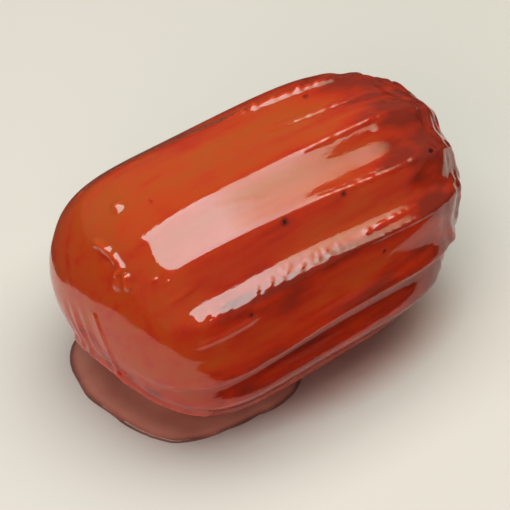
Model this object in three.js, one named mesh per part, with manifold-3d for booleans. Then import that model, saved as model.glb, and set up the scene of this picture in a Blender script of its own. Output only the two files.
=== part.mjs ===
// A tulumba: a short bar of dough pushed through a star-shaped nozzle, snipped off, deep fried and
// soaked in syrup. It is one solid piece. The nozzle leaves ridges with hollow flutes between them.
// They die out in the smooth bulge of the snipped end and run on over the shoulder of the far end.
//
// Millimetres, +Z up. +X runs along the bar from the snipped end to the far end. The origin is the
// middle of the flat spot on which the bar rests.

import * as THREE from 'three';
import { mergeVertices } from 'three/addons/utils/BufferGeometryUtils.js';
import Module from 'manifold-3d';

// Overall size of the bar
const LENGTH = 49.6;            // along the axis, between the middles of the two ends
const WIDTH = 33.9;
const HEIGHT = 30.4;
const SETTLED = 1.1;            // height lost where the soft underside has settled flat

// Each end of the long outline: how straight the side stays, and how flat the end's face is.
// 2 and 2 would be a half ellipse. The snipped end has puffed up into a dome.
const SNIPPED_END = { side: 5, face: 2.1 };
const FAR_END = { side: 4.1, face: 2.7 };
const FAR_END_SLANT = 4.5;      // the far end is cut aslant: its top stands out and its foot back
const FOOT_SET_BACK = 6;        // how far the foot of the snipped end's dome stands back
const TAPER = 0.033;            // the snipped end is thicker and the far end thinner by this share
const BOW = 0.85;               // sideways bow of the middle towards -Y

// Ridges left by the nozzle, in degrees round the bar from the top towards -Y. Each upper one has
// its own place at the middle of the bar, drifts steadily towards the far end by its lean, and
// bends towards both ends by its curl. The lower ones are evenly spaced over the rest of the turn.
const UPPER_RIDGES = [
  { middle: -31, lean: 13, curl: 0 },
  { middle: 9, lean: 0, curl: 5 },
  { middle: 31, lean: 6, curl: 6 },
  { middle: 57, lean: 3, curl: 7 },
  { middle: 84, lean: -3, curl: 14 },
  { middle: 105, lean: 0, curl: 15 }
];
const LOWER_RIDGE_COUNT = 8;

// Depth of a flute of mean width and strength 1 below its ridges, and how rounded its crests and
// its floor are. A flute with no rounding would be a sharp V.
const FLUTE_DEPTH = 1.2;
const CREST_ROUNDING = 0.09;
const FLOOR_ROUNDING = 0.45;

// The flutes that follow each upper ridge: the station where each starts, its strength towards the
// snipped end and towards the far end, and its skew, which moves its deepest line to the lower ridge
const UPPER_FLUTES = [
  { start: -0.92, near: 0.3, far: 0.75, skew: 0 },
  { start: -0.92, near: 0.65, far: 1.15, skew: 0.15 },
  { start: -0.92, near: 0.95, far: 1.05, skew: 0.4 },
  { start: -0.92, near: 0.5, far: 0.6, skew: 0.3 },
  { start: -1.03, near: 1.9, far: 1.9, skew: -0.25 },
  { start: -0.92, near: 0.5, far: 0.5, skew: 0.5 }
];
const LOWER_FLUTE = { start: -0.92, near: 0.85, far: 0.85, skew: 0 };
const BACK_FLUTE = { start: -0.92, near: 0.2, far: 0.6, skew: 0 };
const FLUTE_START_LENGTH = 0.26;
const FLUTE_FADE = 0.7;         // station where the flutes begin to fade towards the far end
const FLUTE_END_DEPTH = 0.5;    // share of the depth that is left on the far end's face

// The underside has settled smooth: the flutes fade out between these angles from the bottom
const SMOOTH_BELOW = 26;
const FLUTED_ABOVE = 52;

// Fineness of the surface
const STEPS_PER_FLUTE = 6;
const RINGS = 48;
const OUTLINE_POINTS = 60;

const RIDGE_COUNT = UPPER_RIDGES.length + LOWER_RIDGE_COUNT;
const FULL_HEIGHT = HEIGHT + SETTLED;

const wasm = await Module();
wasm.setup();

// The angle of one of the upper ridges at a station along the bar
function upperRidgeAngle(index, station) {
  const ridge = UPPER_RIDGES[index];
  return ridge.middle + (ridge.lean + ridge.curl * station) * station;
}

// The angle of any ridge. They are numbered round the bar, and a number past the last one has gone
// once round.
function ridgeAngle(number, station) {
  const turns = Math.floor(number / RIDGE_COUNT);
  const index = number - turns * RIDGE_COUNT;
  const lastUpper = UPPER_RIDGES.length - 1;
  if (index <= lastUpper) {
    return upperRidgeAngle(index, station) + 360 * turns;
  }
  const from = upperRidgeAngle(lastUpper, station);
  const to = upperRidgeAngle(0, station) + 360;
  const share = (index - lastUpper) / (LOWER_RIDGE_COUNT + 1);
  return THREE.MathUtils.lerp(from, to, share) + 360 * turns;
}

// A point of the long outline, which is half a rounded rectangle from pole to pole: x is the
// radius and y the station, both as shares of their largest value. turn runs from 0 to half a turn.
function outlinePoint(turn) {
  const along = -Math.cos(turn);
  const end = along < 0 ? SNIPPED_END : FAR_END;
  const station = Math.sign(along) * Math.abs(along) ** (2 / end.side);
  const radius = Math.abs(Math.sin(turn)) ** (2 / end.face);
  return new THREE.Vector2(radius, station);
}

// The outline as a curve, whose arc length spaces the rings evenly from pole to pole
function longOutline() {
  const points = [];
  for (let step = 0; step <= OUTLINE_POINTS; step++) {
    points.push(outlinePoint((step / OUTLINE_POINTS) * Math.PI));
  }
  return new THREE.SplineCurve(points);
}

// The flute that follows a ridge. The last one of a turn is at the back and shallow.
function fluteAt(number) {
  const index = THREE.MathUtils.euclideanModulo(number, RIDGE_COUNT);
  if (index < UPPER_FLUTES.length) {
    return UPPER_FLUTES[index];
  }
  return index === RIDGE_COUNT - 1 ? BACK_FLUTE : LOWER_FLUTE;
}

// Depth of a flute at a share of the way across it: a rounded V with rounded crests
function fluteScoop(flute, share) {
  const skewed = share - flute.skew * share * (1 - share);
  const offMiddle = Math.hypot(2 * skewed - 1, FLOOR_ROUNDING) - FLOOR_ROUNDING;
  const arch = 1 - offMiddle / (Math.hypot(1, FLOOR_ROUNDING) - FLOOR_ROUNDING);
  return Math.hypot(arch, CREST_ROUNDING) - CREST_ROUNDING;
}

// Strength of a flute at a station along the bar
function fluteStrength(flute, station) {
  const towardsFarEnd = THREE.MathUtils.smoothstep(station, -0.4, 0.5);
  const strength = THREE.MathUtils.lerp(flute.near, flute.far, towardsFarEnd);
  const start = THREE.MathUtils.smoothstep(station, flute.start, flute.start + FLUTE_START_LENGTH);
  const end = THREE.MathUtils.smoothstep(station, FLUTE_FADE, 1);
  return strength * start * (1 - (1 - FLUTE_END_DEPTH) * end);
}

// Share of the flute depth at an angle round the bar: none on the settled underside
function depthAround(angle) {
  const fromBottom = Math.abs(THREE.MathUtils.euclideanModulo(angle, 360) - 180);
  return THREE.MathUtils.smoothstep(fromBottom, SMOOTH_BELOW, FLUTED_ABOVE);
}

// A point of the skin. round counts ridges round the bar, and outline is a point from longOutline.
function skinPoint(round, outline) {
  const station = outline.y;
  const before = Math.floor(round);
  const share = round - before;
  const ridge = ridgeAngle(before, station);
  const nextRidge = ridgeAngle(before + 1, station);
  const angle = THREE.MathUtils.lerp(ridge, nextRidge, share);
  const flute = fluteAt(before);
  const fullDepth = FLUTE_DEPTH * (((nextRidge - ridge) * RIDGE_COUNT) / 360) * depthAround(angle);
  const hollow = fullDepth * fluteStrength(flute, station) * fluteScoop(flute, share);
  const radius = outline.x * (1 - TAPER * station) * (1 - hollow / (WIDTH / 2));
  const upward = radius * Math.cos(THREE.MathUtils.degToRad(angle));
  const sideways = radius * Math.sin(THREE.MathUtils.degToRad(angle));
  const slant = FAR_END_SLANT * Math.max(station, 0) ** 3 * upward;
  const setBack = FOOT_SET_BACK * Math.max(-station, 0) ** 3 * Math.min(upward, 0) ** 2;
  return new THREE.Vector3(
    (LENGTH / 2) * station + slant + setBack,
    BOW * (station * station - 0.5) - (WIDTH / 2) * sideways,
    (FULL_HEIGHT / 2) * upward
  );
}

// The whole skin before it settles: a sphere's grid of rings, wrapped on the bar from pole to pole
function barGeometry() {
  const geometry = new THREE.SphereGeometry(1, RIDGE_COUNT * STEPS_PER_FLUTE, RINGS);
  const outline = longOutline();
  const position = geometry.attributes.position;
  const uv = geometry.attributes.uv;
  for (let index = 0; index < position.count; index++) {
    const round = Math.round(uv.getX(index) * RIDGE_COUNT * STEPS_PER_FLUTE) / STEPS_PER_FLUTE;
    const point = skinPoint(round, outline.getPointAt(uv.getY(index)));
    position.setXYZ(index, point.x, point.y, point.z);
  }
  return geometry;
}

// A closed geometry as a solid that can be cut
function solidFrom(geometry) {
  const bare = geometry.clone();
  bare.deleteAttribute('normal');
  bare.deleteAttribute('uv');
  const merged = mergeVertices(bare, 1e-5);
  return new wasm.Manifold(new wasm.Mesh({
    numProp: 3,
    vertProperties: new Float32Array(merged.attributes.position.array),
    triVerts: new Uint32Array(merged.index.array)
  }));
}

// A solid back as a geometry to show
function geometryFrom(solid) {
  const mesh = solid.getMesh();
  const geometry = new THREE.BufferGeometry();
  geometry.setAttribute('position', new THREE.BufferAttribute(mesh.vertProperties, 3));
  geometry.setIndex(new THREE.BufferAttribute(mesh.triVerts, 1));
  geometry.computeVertexNormals();
  return geometry;
}

// The bar with its underside settled flat, standing on z = 0 over the origin
function settledBar() {
  const bar = solidFrom(barGeometry());
  const below = new THREE.BoxGeometry(2 * LENGTH, 2 * WIDTH, HEIGHT);
  below.translate(0, 0, -FULL_HEIGHT / 2 + SETTLED - HEIGHT / 2);
  const geometry = geometryFrom(bar.subtract(solidFrom(below)));
  geometry.computeBoundingBox();
  const box = geometry.boundingBox;
  const centre = box.getCenter(new THREE.Vector3());
  geometry.translate(-centre.x, -centre.y, -box.min.z);
  return geometry;
}

const crust = new THREE.MeshStandardMaterial({ color: 0x9c3014, roughness: 0.12, metalness: 0 });

const tulumba = new THREE.Mesh(settledBar(), crust);
tulumba.name = 'tulumba';

const model = new THREE.Group();
model.add(tulumba);

export default model;
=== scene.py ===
# %% [markdown]
# # A tulumba, from its frame to its picture
#
# A tulumba is a short bar of dough. It is pushed through a star-shaped nozzle, snipped off, deep
# fried, and soaked in syrup while it is still hot. The frame holds it as one plain solid of the
# right size. This script makes the finer bar that is shown in its place: the same ridges with their
# blisters, wrinkles and lumps, the glassy skin of syrup, and the puddle of syrup at its foot.

# %% Load the frame
import math

import bmesh
import bpy
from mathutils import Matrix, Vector, noise
from mathutils.bvhtree import BVHTree


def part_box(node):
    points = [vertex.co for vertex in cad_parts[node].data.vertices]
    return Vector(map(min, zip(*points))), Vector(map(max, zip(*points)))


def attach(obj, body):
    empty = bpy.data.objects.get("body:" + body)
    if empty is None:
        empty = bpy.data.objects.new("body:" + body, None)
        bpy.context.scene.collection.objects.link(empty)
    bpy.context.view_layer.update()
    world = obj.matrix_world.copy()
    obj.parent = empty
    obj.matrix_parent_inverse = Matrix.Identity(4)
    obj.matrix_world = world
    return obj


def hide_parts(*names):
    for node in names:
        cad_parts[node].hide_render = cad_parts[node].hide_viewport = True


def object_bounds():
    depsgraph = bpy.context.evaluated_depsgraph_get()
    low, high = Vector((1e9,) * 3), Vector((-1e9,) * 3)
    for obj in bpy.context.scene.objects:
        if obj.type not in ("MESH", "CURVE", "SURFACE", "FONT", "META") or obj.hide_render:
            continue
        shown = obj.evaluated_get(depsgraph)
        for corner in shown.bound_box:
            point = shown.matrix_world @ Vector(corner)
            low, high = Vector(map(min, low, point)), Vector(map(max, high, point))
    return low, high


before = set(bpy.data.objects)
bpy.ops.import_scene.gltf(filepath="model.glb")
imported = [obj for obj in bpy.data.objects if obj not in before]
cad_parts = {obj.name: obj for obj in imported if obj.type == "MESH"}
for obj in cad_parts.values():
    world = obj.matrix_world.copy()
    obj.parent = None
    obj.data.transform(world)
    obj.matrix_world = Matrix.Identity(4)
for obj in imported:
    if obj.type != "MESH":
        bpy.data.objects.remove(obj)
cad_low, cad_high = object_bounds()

MM = 0.001
print("frame box, mm:", [round(side / MM, 1) for side in cad_high - cad_low])

# %% [markdown]
# ## Small helpers
#
# Three helpers do most of the shaping. `blend` goes from one value to another, `ramp` rises softly
# from 0 to 1 between two places, and `bump` is a soft hill round a place.

# %% Helpers
def blend(start, end, share):
    return start + (end - start) * share


def ramp(value, start, end):
    share = min(max((value - start) / (end - start), 0.0), 1.0)
    return share * share * (3 - 2 * share)


def bump(value, middle, half_width):
    return 1 - ramp(abs(value - middle), 0.0, half_width)


# %% [markdown]
# ## The ridges
#
# The nozzle's teeth leave ridges that run along the bar, with a hollow flute between each two. On
# the upper side they are spaced unevenly and drift a little, because the dough turned as it was
# pushed out. They could be cut with a swept cutter, but a formula for each ridge's place follows its
# bends and keeps the skin in one piece. The place is an angle round the bar in degrees, from the top
# towards -Y. It depends on the station, which runs from -1 at the snipped end to 1 at the far end.

# %% Ridge places
UPPER_RIDGES = [
    {"middle": -31, "lean": 13, "curl": 0},
    {"middle": 9, "lean": 0, "curl": 5},
    {"middle": 31, "lean": 6, "curl": 6},
    {"middle": 57, "lean": 3, "curl": 7},
    {"middle": 84, "lean": -3, "curl": 14},
    {"middle": 105, "lean": 0, "curl": 15},
]
LOWER_RIDGE_COUNT = 8
RIDGE_COUNT = len(UPPER_RIDGES) + LOWER_RIDGE_COUNT
LAST_UPPER = len(UPPER_RIDGES) - 1


def upper_ridge_angle(index, station):
    ridge = UPPER_RIDGES[index]
    return ridge["middle"] + (ridge["lean"] + ridge["curl"] * station) * station


def ridge_angle(number, station):
    turns, index = divmod(number, RIDGE_COUNT)
    if index <= LAST_UPPER:
        return upper_ridge_angle(index, station) + 360 * turns
    start = upper_ridge_angle(LAST_UPPER, station)
    end = upper_ridge_angle(0, station) + 360
    share = (index - LAST_UPPER) / (LOWER_RIDGE_COUNT + 1)
    return blend(start, end, share) + 360 * turns


print("ridges:", RIDGE_COUNT)

# %% [markdown]
# ## The flutes
#
# A flute is a shallow scoop between two ridges. A rounded V makes a good scoop, and the crests are
# rounded a little too, because no fried edge is razor sharp. Each flute of the upper side has its
# own depth near the snipped end and near the far end. A skewed one has its deepest line nearer to
# its lower ridge, whose upper wall is steep. The flutes start a little way in from the snipped end,
# because the dough closed over there as it puffed up, and they run out over the shoulder of the far
# end. The bar has settled on its soft underside, which is smooth.

# %% Flute depths
FLUTE_DEPTH = 0.071  # of a flute of mean width and strength 1, as a share of the bar's radius
CREST_ROUNDING = 0.09
FLOOR_ROUNDING = 0.45
FLUTE_START_LENGTH = 0.26
FLUTE_FADE = 0.7  # station where the flutes begin to fade towards the far end
FLUTE_END_DEPTH = 0.5  # share of the depth that is left at the far pole
SMOOTH_BELOW = 26  # degrees from the bottom
FLUTED_ABOVE = 52
UPPER_FLUTES = [
    {"start": -0.92, "near": 0.3, "far": 0.75, "skew": 0.0},
    {"start": -0.92, "near": 0.65, "far": 1.15, "skew": 0.15},
    {"start": -0.92, "near": 0.95, "far": 1.05, "skew": 0.4},
    {"start": -0.92, "near": 0.5, "far": 0.6, "skew": 0.3},
    {"start": -1.03, "near": 1.9, "far": 1.9, "skew": -0.25},
    {"start": -0.92, "near": 0.5, "far": 0.5, "skew": 0.5},
]
LOWER_FLUTE = {"start": -0.92, "near": 0.85, "far": 0.85, "skew": 0.0}
BACK_FLUTE = {"start": -0.92, "near": 0.2, "far": 0.6, "skew": 0.0}


def flute_at(number):
    index = number % RIDGE_COUNT
    if index < len(UPPER_FLUTES):
        return UPPER_FLUTES[index]
    return BACK_FLUTE if index == RIDGE_COUNT - 1 else LOWER_FLUTE


def flute_scoop(flute, share):
    share -= flute["skew"] * share * (1 - share)
    off_middle = math.hypot(2 * share - 1, FLOOR_ROUNDING) - FLOOR_ROUNDING
    arch = 1 - off_middle / (math.hypot(1, FLOOR_ROUNDING) - FLOOR_ROUNDING)
    return math.hypot(arch, CREST_ROUNDING) - CREST_ROUNDING


def flute_strength(flute, station):
    strength = blend(flute["near"], flute["far"], ramp(station, -0.4, 0.5))
    start = ramp(station, flute["start"], flute["start"] + FLUTE_START_LENGTH)
    end = ramp(station, FLUTE_FADE, 1.0)
    return strength * start * (1 - (1 - FLUTE_END_DEPTH) * end)


def depth_around(angle):
    from_bottom = abs(angle % 360 - 180)
    return ramp(from_bottom, SMOOTH_BELOW, FLUTED_ABOVE)


print("flutes placed one by one:", len(UPPER_FLUTES))


# %% [markdown]
# ## The long outline
#
# Seen from the side the bar is a rounded rectangle. Each end has two numbers. The first says how
# straight the side stays before it turns, and the second how flat the end's face is. Half an
# ellipse would be 2 and 2. The rings of the mesh are spread evenly along this outline, so that the
# faces stay about square from pole to pole.

# %% Outline
SNIPPED_END = {"side": 5, "face": 2.1}
FAR_END = {"side": 4.1, "face": 2.7}


def outline_point(turn):
    along = -math.cos(turn)
    end = SNIPPED_END if along < 0 else FAR_END
    station = math.copysign(abs(along) ** (2 / end["side"]), along)
    radius = abs(math.sin(turn)) ** (2 / end["face"])
    return Vector((station, radius))


def even_outline(steps, fineness=4000):
    """Points of the outline from the snipped pole to the far pole, evenly spaced along it."""
    points = [outline_point(math.pi * i / fineness) for i in range(fineness + 1)]
    lengths = [0.0]
    for before, after in zip(points, points[1:]):
        lengths.append(lengths[-1] + (after - before).length)
    chosen = [points[0]]
    cursor = 1
    for step in range(1, steps):
        wanted = lengths[-1] * step / steps
        while lengths[cursor] < wanted:
            cursor += 1
        share = (wanted - lengths[cursor - 1]) / (lengths[cursor] - lengths[cursor - 1])
        chosen.append(points[cursor - 1].lerp(points[cursor], share))
    return chosen + [points[-1]]


# %% [markdown]
# ## The bar
#
# A UV sphere is already a closed skin of rings and columns, so it is a good start for a bar with
# two closed ends. Each of its vertices is given a station and an angle, and moved to the bar's
# skin. The columns follow the ridges, so every crest lies on a line of edges. Lengths are shares of
# half the bar's size here, and the frame's box sets the real size at the end.

# %% Move a sphere's vertices to the bar's skin
UPPER_FLUTE_COLUMNS = 36
LOWER_FLUTE_COLUMNS = 18
RINGS = 262
TAPER = 0.033
BOW = 0.05
FAR_END_SLANT = 0.18  # the top of the far end stands out and its foot back
FOOT_SET_BACK = 0.24  # the foot of the snipped end stands back
SETTLED = 0.07  # the underside has settled flat


def column_places():
    """The flute of each column of vertices, and the column's share of the way across it."""
    places = []
    for number in range(RIDGE_COUNT):
        upper = number < LAST_UPPER or number == RIDGE_COUNT - 1
        steps = UPPER_FLUTE_COLUMNS if upper else LOWER_FLUTE_COLUMNS
        places += [(number, step / steps) for step in range(steps)]
    return places


def skin_point(before, share, outline):
    station, radius = outline
    ridge = ridge_angle(before, station)
    next_ridge = ridge_angle(before + 1, station)
    angle = blend(ridge, next_ridge, share)
    width = (next_ridge - ridge) * RIDGE_COUNT / 360
    flute = flute_at(before)
    depth = FLUTE_DEPTH * width * depth_around(angle)
    depth *= flute_strength(flute, station) * flute_scoop(flute, share)
    radius *= (1 - TAPER * station) * (1 - depth)
    upward = radius * math.cos(math.radians(angle))
    sideways = radius * math.sin(math.radians(angle))
    along = station + FAR_END_SLANT * max(station, 0.0) ** 3 * upward
    along += FOOT_SET_BACK * max(-station, 0.0) ** 3 * min(upward, 0.0) ** 2
    across = BOW * (station * station - 0.5) - sideways
    place = Vector((along, across, max(upward, SETTLED - 1)))
    return place, station, angle, abs(2 * share - 1) ** 3


def fit_to_frame(bm, low, high):
    """Stretches the mesh so that its box becomes the frame's box."""
    own_low = Vector([min(v.co[axis] for v in bm.verts) for axis in range(3)])
    own_high = Vector([max(v.co[axis] for v in bm.verts) for axis in range(3)])
    for v in bm.verts:
        for axis in range(3):
            share = (v.co[axis] - own_low[axis]) / (own_high[axis] - own_low[axis])
            v.co[axis] = blend(low[axis], high[axis], share)


bar = bmesh.new()
columns = column_places()
bmesh.ops.create_uvsphere(bar, u_segments=len(columns), v_segments=RINGS, radius=1.0)
outline = even_outline(RINGS)
stations = []
angles = []
crests = []  # 1 on a ridge's crest, falling to 0 in the middle of a flute
for v in bar.verts:
    ring = round(math.acos(max(-1.0, min(1.0, -v.co.z))) / math.pi * RINGS)
    column = round(math.atan2(v.co.y, v.co.x) / math.tau * len(columns)) % len(columns)
    v.co, station, angle, crest = skin_point(*columns[column], outline[ring])
    stations.append(station)
    angles.append((angle + 180) % 360 - 180)
    crests.append(crest)
fit_to_frame(bar, *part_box("tulumba"))
bmesh.ops.recalc_face_normals(bar, faces=bar.faces)
bar.normal_update()
print("bar:", len(bar.verts), "vertices,", sum(len(f.verts) - 2 for f in bar.faces), "triangles")

# %% [markdown]
# ## Lumps and fine ridges
#
# Frying leaves the crust uneven. Broad, very low lumps make the long highlights waver, and streaks
# along the bar are left by the nozzle. Small teeth of the nozzle and folds in the dough leave a few
# fine ridges beside the large ones. All of the relief is a height along the skin's normal. Lumps and
# streaks come from noise, which gives the same result each time. Noise alone looks the same all
# over, so each fine ridge has a place of its own.

# %% Lumps and streaks
def lumps(place):
    broad = noise.noise(place * 90) * 0.1 * MM
    streaked = Vector((place.x * 110, place.y * 800, place.z * 800))
    return broad + noise.noise(streaked) * 0.018 * MM


def swell(station, angle):
    """The far shoulder has puffed up a little on its upper side."""
    return bump(station, 0.64, 0.3) * bump(angle, 30, 55) * 0.35 * MM


# %% Fine ridges
# Each runs from one station and angle to another: its height in mm, and half its width in degrees
FINE_RIDGES = [
    {"start": (0.16, 54.0), "end": (0.52, 55.0), "height": 0.1, "half_width": 2.2},
    {"start": (-0.84, 70.0), "end": (-0.4, 63.5), "height": 0.16, "half_width": 2.2},
    {"start": (-0.86, 44.0), "end": (-0.62, 40.0), "height": 0.12, "half_width": 2.5},
    {"start": (-0.54, 12.0), "end": (-0.1, 20.0), "height": 0.05, "half_width": 2.5},
    {"start": (0.0, -31.0), "end": (0.75, -21.5), "height": 0.44, "half_width": 2.1},
    {"start": (0.08, -12.0), "end": (0.75, -6.0), "height": 0.2, "half_width": 2.4},
    {"start": (0.3, -3.0), "end": (0.75, -1.0), "height": 0.08, "half_width": 2.0},
    {"start": (0.1, 9.5), "end": (0.75, 12.0), "height": 0.16, "half_width": 1.6},
    {"start": (0.0, 31.0), "end": (0.7, 38.0), "height": 0.16, "half_width": 1.5},
    {"start": (0.05, 57.0), "end": (0.68, 62.0), "height": 0.16, "half_width": 1.5},
    {"start": (0.2, 53.5), "end": (0.62, 56.5), "height": 0.12, "half_width": 1.5},
    {"start": (-0.6, 86.5), "end": (0.6, 86.5), "height": 0.1, "half_width": 1.5},
]


def fine_ridges(station, angle):
    height = 0.0
    for ridge in FINE_RIDGES:
        (from_station, from_angle), (to_station, to_angle) = ridge["start"], ridge["end"]
        share = (station - from_station) / (to_station - from_station)
        if 0 < share < 1:
            off = angle - blend(from_angle, to_angle, share)
            taper = ramp(share, 0.0, 0.3) * (1 - ramp(share, 0.7, 1.0))
            broken = max(1 + 1.3 * noise.noise(Vector((station * 30, from_angle, 5))), 0.0)
            height += ridge["height"] * MM * bump(off, 0, ridge["half_width"]) * taper * broken
    return height


# %% [markdown]
# ## Blisters, wrinkles and folds
#
# Small blisters sit along the ridge that bulged most. Where the dough was snipped off, the skin is
# wrinkled, and it has folded over itself low down on the dome. The far end's shoulder has a wavy
# lip. A few burst bubbles are left as pits, and single bubbles that haven't burst as bumps.

# %% Blisters
def blisters(place, station, angle):
    crest = upper_ridge_angle(3, station)
    along = ramp(station, -0.82, -0.7) * (1 - ramp(station, 0.0, 0.2))
    where = bump(angle, crest - 2.5, 5.5) * along
    if where == 0:
        return 0.0
    spots = noise.noise(place * 1500) + 0.5 * noise.noise(place * 3000)
    return max(spots, -0.1) * 0.24 * MM * where


# %% Wrinkles
AXIS_HEIGHT = 15 * MM
HALF_THICKNESS = 16 * MM
SNIP_MIDDLE = Vector((-25, 2, 13)) * MM
SNIP_ALONG = Vector((0, -0.55, -0.83))
SNIP_ACROSS = Vector((0, 0.83, -0.55))


def snip_wrinkles(place):
    from_snip = place - SNIP_MIDDLE
    where = bump(from_snip.length, 0, 6 * MM)
    if where == 0:
        return 0.0
    across, along = from_snip.dot(SNIP_ACROSS), from_snip.dot(SNIP_ALONG)
    return noise.noise(Vector((across * 900, along * 150, 0))) * 0.3 * MM * where


def far_lip(place, station, angle):
    """Wavy lines round the far end's shoulder, where the skin has puckered. Its face is calmer."""
    where = ramp(station, 0.64, 0.86)
    if where == 0:
        return 0.0
    lip = bump(station, 0.93, 0.07) * (0.6 + 1.2 * noise.noise(place * 180)) * 0.3
    waves = noise.noise(Vector((place.x * 800, place.y * 300, place.z * 300))) * 0.16
    waves += noise.noise(place * 1200) * 0.07
    from_axis = math.hypot(place.y, place.z - AXIS_HEIGHT) / HALF_THICKNESS
    ring_height = 0.25 + 0.4 * ramp(from_axis, 0.5, 0.9)
    waves += noise.noise(Vector((from_axis * 14, angle * 0.04, 3))) * ring_height
    return (lip + waves * where) * MM


# %% Folds and pits
# Each fold is a path of points in mm, with its height (less than 0 for a groove) and half its width
# in mm, and how broken up it is
FOLDS = [
    {"path": [(-25.1, -0.3, 17.5), (-25, -2.5, 14.2), (-24.8, -3.9, 11.3), (-24, -5.5, 9)],
     "height": 0.22, "width": 0.7, "broken": 0.3},
    {"path": [(-24.9, 5, 9.0), (-25.0, 1, 10.2), (-24.6, -4.2, 10.6), (-22.9, -7.9, 8.1),
              (-21.2, -10.8, 7.4), (-17.9, -12.4, 5.9)],
     "height": 0.45, "width": 1.1, "broken": 0},
    {"path": [(-24.9, 5, 7.6), (-25.0, 1, 8.6), (-24.4, -4.4, 9.0), (-22.6, -8.1, 6.7),
              (-20.8, -11.0, 5.9), (-17.9, -12.6, 4.6)],
     "height": -0.4, "width": 1.0, "broken": 0},
    {"path": [(-22.4, 3.0, 25.6), (-22.3, 0.7, 26.1)],
     "height": 0.5, "width": 0.9, "broken": 0.9},
    {"path": [(-22.2, -0.3, 26.0), (-22.5, -2.2, 25.4), (-23.0, -2.0, 24.6), (-23.5, -2.6, 23.6)],
     "height": 0.5, "width": 0.9, "broken": 0.9},
    {"path": [(-22.8, -3.3, 25.0), (-23.1, -3.9, 24.3)],
     "height": 0.45, "width": 0.8, "broken": 0.9},
]
# Station, angle, depth in mm and radius in mm of each pit
PITS = [
    (-0.13, 33.5, 0.06, 0.55), (0.22, 34.8, 0.05, 0.45), (0.82, 84.0, 0.2, 0.4),
    (0.74, 37.5, 0.1, 0.5), (-0.5, 62.5, 0.06, 0.35), (0.3, 66.0, 0.1, 0.35),
    (0.55, 88.0, 0.1, 0.4), (-0.35, 92.0, 0.1, 0.35), (0.45, -20.0, 0.08, 0.35),
    (-0.6, -5.0, 0.05, 0.3), (-0.3, 150.0, 0.15, 0.45), (0.3, -120.0, 0.15, 0.45),
    (-0.2, -75.0, 0.15, 0.45), (0.5, -95.0, 0.15, 0.45), (-0.7, -110.0, 0.15, 0.45),
]
# Station, angle, height in mm and radius in mm of each single bump
BUMPS = [(-0.72, -14.8, 0.65, 1.25), (-0.70, -50.0, 0.2, 0.8), (-0.82, 29.6, 0.22, 0.45),
         (-0.78, 33.5, 0.2, 0.4), (0.62, 36.6, 0.2, 0.7), (0.57, 17.0, 0.12, 1.2)]


FOLDS_END = -15 * MM  # no fold reaches past this x
HALF_LENGTH = 24.8 * MM
MEAN_RADIUS = 15.5 * MM


def distance_to_path(place, path):
    nearest = 1.0
    for start, end in zip(path, path[1:]):
        along = end - start
        share = min(max((place - start).dot(along) / along.length_squared, 0.0), 1.0)
        nearest = min(nearest, (place - start - along * share).length)
    return nearest


skin_tree = BVHTree.FromBMesh(bar)
for fold in FOLDS:
    fold["path"] = [skin_tree.find_nearest(Vector(point) * MM)[0] for point in fold["path"]]


def folds(place):
    if place.x > FOLDS_END:
        return 0.0
    height = 0.0
    unevenness = noise.noise(place * 900)
    for fold in FOLDS:
        across = bump(distance_to_path(place, fold["path"]), 0, fold["width"] * MM)
        height += fold["height"] * across * (1 + fold["broken"] * unevenness)
    return height * MM


def distance_on_skin(station, angle, spot_station, spot_angle):
    along = (station - spot_station) * HALF_LENGTH
    across = math.radians((angle - spot_angle + 180) % 360 - 180) * MEAN_RADIUS
    return math.hypot(along, across)


def spots(station, angle):
    """Pits and single bumps, measured on the skin from their own station and angle."""
    height = 0.0
    for spot_station, spot_angle, deep, wide in PITS:
        away = distance_on_skin(station, angle, spot_station, spot_angle)
        height -= deep * MM * bump(away, 0, wide * MM)
    for spot_station, spot_angle, tall, wide in BUMPS:
        away = distance_on_skin(station, angle, spot_station, spot_angle)
        height += tall * MM * bump(away, 0, wide * MM)
    return height


# %% Add the relief
for v, station, angle in zip(bar.verts, stations, angles):
    height = lumps(v.co) + swell(station, angle)
    height += fine_ridges(station, angle)
    height += blisters(v.co, station, angle)
    height += snip_wrinkles(v.co)
    height += far_lip(v.co, station, angle)
    height += folds(v.co)
    height += spots(station, angle)
    v.co += v.normal * height * ramp(v.co.z, 0.0, 2 * MM)
    v.co.z = max(v.co.z, 0.0)
bar.normal_update()
crust_tree = BVHTree.FromBMesh(bar)
print("height with the relief, mm:", round(max(v.co.z for v in bar.verts) / MM, 2))

# %% [markdown]
# ## From mesh to piece
#
# Every mesh becomes a piece in the same way: it stays where it was made, its faces are shaded
# smooth, and it gets one material. The bar's fine faces follow even the small blisters, so smooth
# shading is enough and no modifier is needed.

# %% Turn a mesh into a shown piece
def finish_piece(bm, name, material):
    mesh = bpy.data.meshes.new(name)
    bm.to_mesh(mesh)
    bm.free()
    for face in mesh.polygons:
        face.use_smooth = True
    mesh.materials.append(material)
    piece = bpy.data.objects.new(name, mesh)
    bpy.context.scene.collection.objects.link(piece)
    return piece
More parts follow.
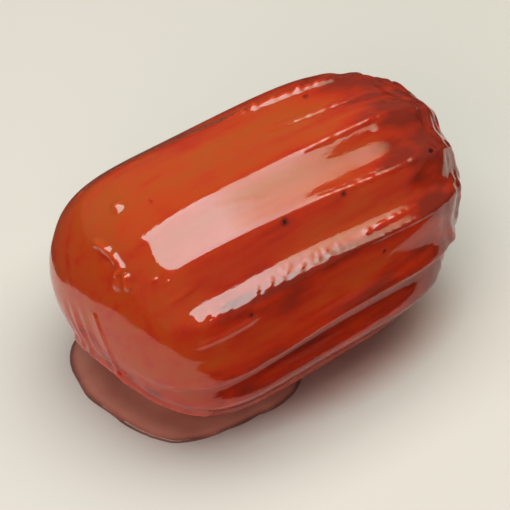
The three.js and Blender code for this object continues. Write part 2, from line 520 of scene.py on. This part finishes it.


# %% [markdown]
# ## The colour of the crust
#
# The crust is amber where it is thin and soaked, and red-brown where it fried longest: on the crests
# of the ridges and along the lower sides. Part of the colour is painted light: the snipped dome is
# made more amber as painted light, a soft amber patch near the snipped end's top is a painted glow,
# and the far end is made darker as painted shade. How amber it is, from 0 to 1, is worked out for
# each vertex and kept in the mesh as an attribute, which the material reads. Noise in the material
# could vary the colour as well, but it wouldn't know the crests and the dome. The pits have burnt
# almost black, and get less than 0.

# %% Where the crust is amber, with painted light and shade
def amber_and_painted_light_share(station, angle, crest):
    top = bump(angle, -6, 70) * ramp(station, -1.0, -0.5) * (1 - ramp(station, 0.25, 0.75))
    # Painted light: the snipped dome is made more amber, to brighten it where it faces away from the
    # lamp.
    dome_painted_light = (1 - ramp(station, -0.85, -0.55)) * (1 - ramp(abs(angle), 90, 130))
    share = 0.3 + 0.45 * top + 0.35 * dome_painted_light
    share += 0.25 * bump(angle, 49, 12) * bump(station, 0.2, 0.6)
    # Painted glow: a soft amber patch on the shoulder of the snipped end's top, round its largest
    # bump.
    share += 0.3 * bump(angle, -22, 20) * bump(station, -0.75, 0.2)
    share += 0.15 * bump(angle, 75, 18) * bump(station, -0.2, 0.8)
    share -= 0.22 * crest * (1 - ramp(abs(angle), 120, 170))
    # Painted shade: the crust is made darker towards the far end.
    share -= 0.28 * ramp(station, 0.35, 0.8)
    share = min(max(share, 0.0), 1.0)
    for spot_station, spot_angle, _, wide in PITS:
        away = distance_on_skin(station, angle, spot_station, spot_angle)
        share -= 1.9 * bump(away, 0, wide * MM)
    return share


# Each vertex's amber share, which also carries the painted light on the dome, the painted glow and
# the painted shade at the far end.
amber_and_painted_light_shares = [amber_and_painted_light_share(*spot) for spot in zip(stations, angles, crests)]
print("amber from", round(min(amber_and_painted_light_shares), 2), "to", round(max(amber_and_painted_light_shares), 2))

# %% [markdown]
# ## The syrup-soaked crust
#
# The crust is a little see-through, under a clear film of syrup. Streaks along the bar and darker
# blotches vary its colour. Subsurface scattering lets red light travel furthest. The film could be
# a second skin of faces, but it is too thin to have a shape of its own. So it is the shader's coat,
# which is smoother than the crust under it.

# %% Crust material
def linear(red, green, blue):
    """A display colour of 0 to 255 as the linear colour that the shader takes."""
    channels = []
    for value in (red, green, blue):
        share = value / 255
        channels.append(share / 12.92 if share < 0.04045 else ((share + 0.055) / 1.055) ** 2.4)
    return (*channels, 1.0)


BURNT = linear(40, 6, 3)
DARK_RED = linear(104, 24, 12)
RED = linear(142, 30, 10)
ORANGE = linear(146, 44, 13)
AMBER = linear(140, 53, 14)


def new_material(name):
    material = bpy.data.materials.new(name)
    material.use_nodes = True
    nodes = material.node_tree.nodes
    nodes.clear()
    output = nodes.new("ShaderNodeOutputMaterial")
    shader = nodes.new("ShaderNodeBsdfPrincipled")
    material.node_tree.links.new(shader.outputs["BSDF"], output.inputs["Surface"])
    return material, shader


def add_noise(material, stretch, scale, detail=4.0):
    nodes, links = material.node_tree.nodes, material.node_tree.links
    place = nodes.new("ShaderNodeTexCoord")
    mapping = nodes.new("ShaderNodeMapping")
    mapping.inputs["Scale"].default_value = stretch
    texture = nodes.new("ShaderNodeTexNoise")
    texture.inputs["Scale"].default_value = scale
    texture.inputs["Detail"].default_value = detail
    links.new(place.outputs["Object"], mapping.inputs["Vector"])
    links.new(mapping.outputs["Vector"], texture.inputs["Vector"])
    return texture


def add_math(material, operation, *values):
    """A maths node. Each value is a socket or a number."""
    node = material.node_tree.nodes.new("ShaderNodeMath")
    node.operation = operation
    for socket, value in zip(node.inputs, values):
        if isinstance(value, (int, float)):
            socket.default_value = value
        else:
            material.node_tree.links.new(value, socket)
    return node.outputs["Value"]


def add_ramp(owner, factor, stops):
    """A colour ramp through stops of place and colour, for a material or a lamp."""
    node = owner.node_tree.nodes.new("ShaderNodeValToRGB")
    elements = node.color_ramp.elements
    for element, (place, colour) in zip(elements, (stops[0], stops[-1])):
        element.position, element.color = place, colour
    for place, colour in stops[1:-1]:
        elements.new(place).color = colour
    owner.node_tree.links.new(factor, node.inputs["Fac"])
    return node.outputs["Color"]


def crust_material():
    material, shader = new_material("syrup_crust")
    nodes, links = material.node_tree.nodes, material.node_tree.links
    amber_and_painted_light = nodes.new("ShaderNodeAttribute")
    amber_and_painted_light.attribute_name = "amber_and_painted_light"
    streaks = add_noise(material, (1.0, 6.0, 6.0), 90.0, 5.0)
    blotches = add_noise(material, (1.0, 1.6, 1.6), 210.0, 3.0)
    streaky = add_math(material, "MULTIPLY_ADD", streaks.outputs["Fac"], 1.2, -0.6)
    blotchy = add_math(material, "MULTIPLY_ADD", blotches.outputs["Fac"], 0.6, -0.3)
    uneven = add_math(material, "ADD", streaky, blotchy)
    # The attribute's painted light and shade go into the colour here, together with the amber.
    tone = add_math(material, "ADD", amber_and_painted_light.outputs["Fac"], uneven)
    # A ramp has no places below 0, so tones from -1 to 1 are moved to places from 0 to 1
    place = add_math(material, "MULTIPLY_ADD", tone, 0.5, 0.5)
    colour = add_ramp(material, place, [(0.0, BURNT), (0.25, DARK_RED), (0.5, DARK_RED),
                                        (0.65, RED), (0.8, ORANGE), (1.0, AMBER)])
    links.new(colour, shader.inputs["Base Color"])

    pores = add_noise(material, (1.0, 2.5, 2.5), 900.0, 2.0)
    relief = nodes.new("ShaderNodeBump")
    relief.inputs["Strength"].default_value = 0.25
    relief.inputs["Distance"].default_value = 0.05 * MM
    links.new(pores.outputs["Fac"], relief.inputs["Height"])
    links.new(relief.outputs["Normal"], shader.inputs["Normal"])
    links.new(relief.outputs["Normal"], shader.inputs["Coat Normal"])

    shader.inputs["Roughness"].default_value = 0.5
    shader.inputs["Specular IOR Level"].default_value = 0.0
    shader.inputs["Subsurface Weight"].default_value = 1.0
    shader.inputs["Subsurface Radius"].default_value = (1.0, 0.2, 0.05)
    shader.inputs["Subsurface Scale"].default_value = 2.5 * MM
    shader.inputs["Coat Weight"].default_value = 1.0
    shader.inputs["Coat Roughness"].default_value = 0.03
    shader.inputs["Coat IOR"].default_value = 1.6
    return material


crust = finish_piece(bar, "crust", crust_material())
crust.data.attributes.new("amber_and_painted_light", "FLOAT", "POINT").data.foreach_set("value", amber_and_painted_light_shares)
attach(crust, "root")
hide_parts("tulumba")
print("crust:", len(crust.data.polygons), "faces")

# %% [markdown]
# ## The puddle of syrup
#
# Syrup has run down and stands in a thin puddle under the dome, with a crisp rounded edge. A fluid
# simulation could spread it, but its outline is known, so a disc of rings is shaped instead. Its
# edge is given by a few radii round a middle, and its top creeps up where the crust is close above
# it. Its mauve-brown colour is painted shade with a painted reflection of the crust's red underside,
# and its edge is darkened by the attribute `rim` as painted shade, where the syrup bends the light
# away. Beside it lies a film, too thin to have an edge, along the side: it is painted shadow, whose
# reddish colour stands for the red light the crust throws into its shadow on the floor. Both are
# closed lenses that lie on the floor. How see-through they are follows the attribute `depth`.

# %% A disc of rings
def add_disc(bm, rings, spokes):
    """A flat disc of radius 1 round the origin, as rings of faces. Returns its rim's edges."""
    bmesh.ops.create_circle(bm, cap_ends=True, radius=1.0, segments=spokes)
    bmesh.ops.poke(bm, faces=bm.faces[:])
    inner = [edge for edge in bm.edges if not edge.is_boundary]
    bmesh.ops.subdivide_edges(bm, edges=inner, cuts=rings - 1, use_grid_fill=True)
    return [edge for edge in bm.edges if edge.is_boundary]


def close_disc(bm, rim):
    """Closes the shaped disc with a flat underside."""
    bmesh.ops.edgeloop_fill(bm, edges=rim)
    bmesh.ops.recalc_face_normals(bm, faces=bm.faces)


# %% Puddle
POOL_MIDDLE = Vector((-6, -2, 0)) * MM
POOL_DEPTH = 0.6 * MM
# Direction from the middle in degrees, and radius in mm
POOL_EDGE = [(0, 10.0), (42, 11.0), (85, 11.0), (118, 17.0), (133, 19.8), (147, 19.4), (160, 18.7),
             (177, 17.2), (195, 16.4), (206, 15.8), (217, 13.9), (231, 11.7), (252, 9.9), (284, 9.4),
             (300, 9.0), (330, 9.5), (360, 10.0)]
POOL_SPOKES = 144
POOL_RINGS = 40
CLIMB = 1.3 * MM  # how far the syrup creeps up the crust where they touch
CLIMB_REACH = 1.6 * MM


def pool_radius(direction):
    for (start, start_radius), (end, end_radius) in zip(POOL_EDGE, POOL_EDGE[1:]):
        if start <= direction <= end:
            return blend(start_radius, end_radius, (direction - start) / (end - start)) * MM


def pool_depth(place, share):
    """The depth of the puddle at a place on the floor, at a share of the way to its edge."""
    depth = POOL_DEPTH * math.sqrt(1 - share ** 12)
    above, _, _, gap = crust_tree.ray_cast(place + Vector((0, 0, 0.01 * MM)), Vector((0, 0, 1)))
    if above is None:
        return depth
    climb = CLIMB * math.exp(-gap / CLIMB_REACH) * (1 - share ** 4)
    return min(depth + climb, gap + 0.15 * MM)


pool = bmesh.new()
pool_rim = add_disc(pool, POOL_RINGS, POOL_SPOKES)
# The puddle's edge is marked for painted shade, where the syrup bends the light away.
pool_rim_shades = []  # 1 at the edge, where the syrup bends away the light
for v in pool.verts:
    direction = math.atan2(v.co.y, v.co.x)
    share = 1 - (1 - min(round(v.co.length * POOL_RINGS) / POOL_RINGS, 1.0)) ** 1.6
    outward = Vector((math.cos(direction), math.sin(direction), 0))
    radius = pool_radius(math.degrees(direction) % 360) * (1 + 0.02 * noise.noise(outward * 4))
    place = POOL_MIDDLE + outward * radius * share
    v.co = place + Vector((0, 0, pool_depth(place, share) + 0.04 * MM))
    pool_rim_shades.append(ramp(share, 0.94, 1.0))
close_disc(pool, pool_rim)
deepest = max(v.co.z for v in pool.verts)
print("puddle:", len(pool.verts), "vertices, deepest", round(deepest / MM, 2), "mm")

# %% Film
# The film is painted shadow: a see-through sheet on the floor whose reddish-brown colour stands for
# the red light that the crust throws into its shadow.
FILM_MIDDLE = Vector((4, -7, 0)) * MM
FILM_RADII = (22 * MM, 11 * MM)
FILM_SPOKES = 96
FILM_RINGS = 24
shadow_film = bmesh.new()
film_rim = add_disc(shadow_film, FILM_RINGS, FILM_SPOKES)
shadow_film_depths = []
for v in shadow_film.verts:
    depth = (1 - min(v.co.length, 1.0) ** 2) ** 1.5
    shadow_film_depths.append(0.75 * depth)
    from_middle = Vector((v.co.x * FILM_RADII[0], v.co.y * FILM_RADII[1], 0))
    v.co = FILM_MIDDLE + from_middle + Vector((0, 0, (0.02 + 0.05 * depth) * MM))
close_disc(shadow_film, film_rim)
print("film:", len(shadow_film.verts), "vertices")

# %% Syrup material
SYRUP_OPACITY = 0.78
# How much the puddle's edge is darkened, as painted shade.
RIM_PAINTED_SHADE = 0.5


def syrup_and_painted_shade_material():
    material, shader = new_material("syrup")
    nodes, links = material.node_tree.nodes, material.node_tree.links
    depth = nodes.new("ShaderNodeAttribute")
    depth.attribute_name = "depth"
    cloud = add_noise(material, (1.0, 1.0, 1.0), 160.0, 3.0)
    edge = nodes.new("ShaderNodeAttribute")
    edge.attribute_name = "rim"
    # Painted shade darkens the puddle's edge. The mauve-brown colours below are painted shade with a
    # painted reflection of the crust's red underside, and the cloud varies them at random.
    painted_rim_shade = add_math(material, "MULTIPLY", edge.outputs["Fac"], RIM_PAINTED_SHADE)
    tone = add_math(material, "SUBTRACT", cloud.outputs["Fac"], painted_rim_shade)
    colour = add_ramp(material, tone, [(0.0, linear(105, 60, 50)), (0.3, linear(160, 92, 78)),
                                       (0.7, linear(184, 116, 100))])
    links.new(colour, shader.inputs["Base Color"])
    alpha = add_math(material, "MULTIPLY", depth.outputs["Fac"], SYRUP_OPACITY)
    links.new(alpha, shader.inputs["Alpha"])
    shader.inputs["Roughness"].default_value = 0.08
    shader.inputs["IOR"].default_value = 1.45
    return material


def add_see_through_piece(bm, name, depths, rim_shades):
    piece = finish_piece(bm, name, syrup)
    piece.data.attributes.new("depth", "FLOAT", "POINT").data.foreach_set("value", depths)
    piece.data.attributes.new("rim", "FLOAT", "POINT").data.foreach_set("value", rim_shades)
    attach(piece, "root")


syrup = syrup_and_painted_shade_material()
add_see_through_piece(pool, "syrup_pool", [1.0] * len(pool_rim_shades), pool_rim_shades)
# The film piece, a painted red shadow on the floor.
add_see_through_piece(shadow_film, "painted_shadow_film", shadow_film_depths, [0.0] * len(shadow_film_depths))

# %% [markdown]
# ## Floor and light
#
# The bar lies on a plain pale floor. One soft lamp hangs just above it and fades towards the far end.
# It is what the flutes reflect as long bright bands. A second one, which the gloss doesn't see, fills
# in the shadows. A black flag lies on the floor, with an oval hole round the bar. Only the gloss
# sees it. The lowest parts of the skin reflect the pale floor inside the hole, as a veil. The parts
# above them reflect the flag, which keeps their colour deep.

# %% Floor
def floor_material():
    material, shader = new_material("floor")
    shader.inputs["Base Color"].default_value = (0.43, 0.345, 0.318, 1.0)
    shader.inputs["Roughness"].default_value = 0.6
    shader.inputs["Specular IOR Level"].default_value = 0.1
    return material


floor_mesh = bmesh.new()
bmesh.ops.create_grid(floor_mesh, x_segments=1, y_segments=1, size=3.0)
floor = finish_piece(floor_mesh, "floor", floor_material())

# %% Black flag
FLAG_INNER = 87 * MM
FLAG_NARROWING = 0.48
FLAG_MIDDLE = (8 * MM, -8 * MM, 0.3 * MM)
FLAG_OUTER = 2.8


def flag_material():
    material, shader = new_material("flag")
    shader.inputs["Base Color"].default_value = (0.02, 0.02, 0.02, 1.0)
    shader.inputs["Roughness"].default_value = 1.0
    shader.inputs["Specular IOR Level"].default_value = 0.0
    return material


flag_mesh = bmesh.new()
hole_side = flag_mesh.verts.new((FLAG_INNER, 0, 0))
outer_side = flag_mesh.verts.new((FLAG_OUTER, 0, 0))
spoke = flag_mesh.edges.new((hole_side, outer_side))
bmesh.ops.spin(flag_mesh, geom=[hole_side, outer_side, spoke], cent=(0, 0, 0), axis=(0, 0, 1),
               angle=math.tau, steps=96, use_merge=True)
bmesh.ops.scale(flag_mesh, vec=(1, FLAG_NARROWING, 1), verts=flag_mesh.verts)
bmesh.ops.translate(flag_mesh, vec=FLAG_MIDDLE, verts=flag_mesh.verts)
flags = finish_piece(flag_mesh, "flags", flag_material())
flags.visible_camera = False
flags.visible_diffuse = False
flags.visible_shadow = False
flags.visible_transmission = False

# %% Lights
LIGHT_HEIGHT = 0.3
LAMP_MIDDLE = (0.06, 0.0)
LAMP_SIZE = (0.46, 0.32)
WARM_WHITE = (1.0, 1.0, 0.97, 1.0)
# Share of the way along the lamp towards the far end, and the lamp's colour there
LAMP_STOPS = [(0.0, WARM_WHITE), (0.62, WARM_WHITE), (0.74, (0.62, 0.57, 0.45, 1.0)),
              (0.9, (0.36, 0.29, 0.18, 1.0)), (1.0, (0.0, 0.0, 0.0, 1.0))]


def add_softbox(name, middle, size, colour, radiance):
    light = bpy.data.lights.new(name, "AREA")
    light.shape = "RECTANGLE"
    light.size, light.size_y = size
    light.energy = radiance * math.pi * size[0] * size[1]
    light.color = colour
    lamp = bpy.data.objects.new(name, light)
    bpy.context.scene.collection.objects.link(lamp)
    lamp.location = (*middle, LIGHT_HEIGHT)
    lamp.visible_camera = False
    return lamp


overhead = add_softbox("overhead", LAMP_MIDDLE, LAMP_SIZE, (0.79, 1.0, 0.99), 6.1)
overhead.data.use_nodes = True
lamp_nodes, lamp_links = overhead.data.node_tree.nodes, overhead.data.node_tree.links
lamp_place = lamp_nodes.new("ShaderNodeNewGeometry")
lamp_axes = lamp_nodes.new("ShaderNodeSeparateXYZ")
lamp_links.new(lamp_place.outputs["Position"], lamp_axes.inputs["Vector"])
lamp_share = lamp_nodes.new("ShaderNodeMapRange")
lamp_share.inputs["From Min"].default_value = LAMP_MIDDLE[0] - LAMP_SIZE[0] / 2
lamp_share.inputs["From Max"].default_value = LAMP_MIDDLE[0] + LAMP_SIZE[0] / 2
lamp_links.new(lamp_axes.outputs["X"], lamp_share.inputs["Value"])
lamp_colour = add_ramp(overhead.data, lamp_share.outputs["Result"], LAMP_STOPS)
lamp_links.new(lamp_colour, lamp_nodes["Emission"].inputs["Color"])

fill = add_softbox("fill", (-0.45, -0.3), (0.5, 0.5), (1.0, 0.97, 0.94), 4.4)
fill.rotation_euler = Vector((-0.45, -0.25, LIGHT_HEIGHT)).to_track_quat("Z", "Y").to_euler()
fill.visible_glossy = False

world = bpy.data.worlds.new("studio")
world.use_nodes = True
world.node_tree.nodes["Background"].inputs["Color"].default_value = (1.0, 0.97, 0.93, 1.0)
world.node_tree.nodes["Background"].inputs["Strength"].default_value = 0.12
bpy.context.scene.world = world
bpy.context.scene.view_settings.view_transform = "Standard"

# %% [markdown]
# ## Camera
#
# The camera looks down at the snipped end from 44 degrees, through a long lens that keeps the
# bar's sides nearly parallel.

# %% Camera
AZIMUTH = math.radians(-37.6)
ELEVATION = math.radians(44)
VIEW_WIDTH = 61.5 * MM
CAMERA_DISTANCE = 0.9
OFFSET_RIGHT = -0.77 * MM
OFFSET_UP = -1.69 * MM

back = Vector((
    math.sin(AZIMUTH) * math.cos(ELEVATION),
    -math.cos(AZIMUTH) * math.cos(ELEVATION),
    math.sin(ELEVATION),
))
right = Vector((math.cos(AZIMUTH), math.sin(AZIMUTH), 0))
up = back.cross(right)
centre = (cad_low + cad_high) / 2
target = centre + right * OFFSET_RIGHT + up * OFFSET_UP

lens = bpy.data.cameras.new("camera")
lens.sensor_width = 36.0
lens.lens = lens.sensor_width * CAMERA_DISTANCE / VIEW_WIDTH
camera = bpy.data.objects.new("camera", lens)
bpy.context.scene.collection.objects.link(camera)
camera.location = target + back * CAMERA_DISTANCE
camera.rotation_euler = back.to_track_quat("Z", "Y").to_euler()
bpy.context.scene.camera = camera
print("lens:", round(lens.lens), "mm")
